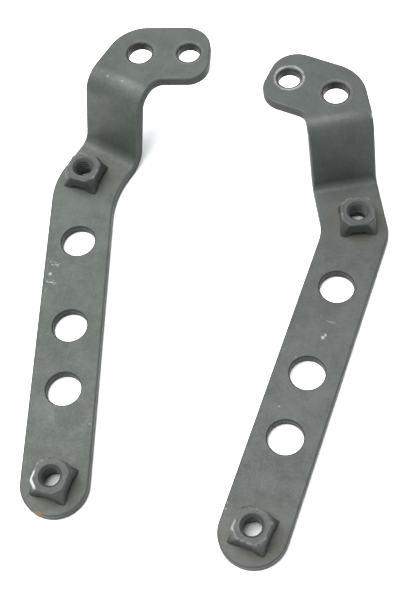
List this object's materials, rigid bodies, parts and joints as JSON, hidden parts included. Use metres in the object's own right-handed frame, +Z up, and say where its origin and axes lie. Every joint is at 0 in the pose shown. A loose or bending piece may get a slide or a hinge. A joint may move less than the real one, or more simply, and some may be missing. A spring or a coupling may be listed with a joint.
{
  "type": "offset mounting bracket pair",
  "caption": "Handed pair of dog-legged flat-steel brackets, each with a raised hole tab, a row of lightening holes and square weld nuts for bolting other parts on.",
  "frame": {"origin": "middle of the pair's bounding box, on the plane the undersides lie on", "axes": "+Y from the round ends towards the raised tabs, +X from the left bracket to the right one, +Z up, the side the nuts stand on"},
  "size_m": [0.1345, 0.2012, 0.0359],
  "materials": {
    "strap_steel": "dark grey-green phosphate, satin, scuffed",
    "nut_steel": "grey phosphate, satin, edges worn bright"
  },
  "bodies": {
    "left_bracket": {"left_strap": "strap_steel", "left_upper_weld_nut": "nut_steel", "left_lower_weld_nut": "nut_steel"},
    "right_bracket": {"right_strap": "strap_steel", "right_upper_weld_nut": "nut_steel", "right_lower_weld_nut": "nut_steel"}
  },
  "joints": [
    {"name": "right_bracket_lift", "type": "slide", "parent": "left_bracket", "child": "right_bracket", "axis": [0, 0, 1], "range_m": [0, 0.12]}
  ]
}
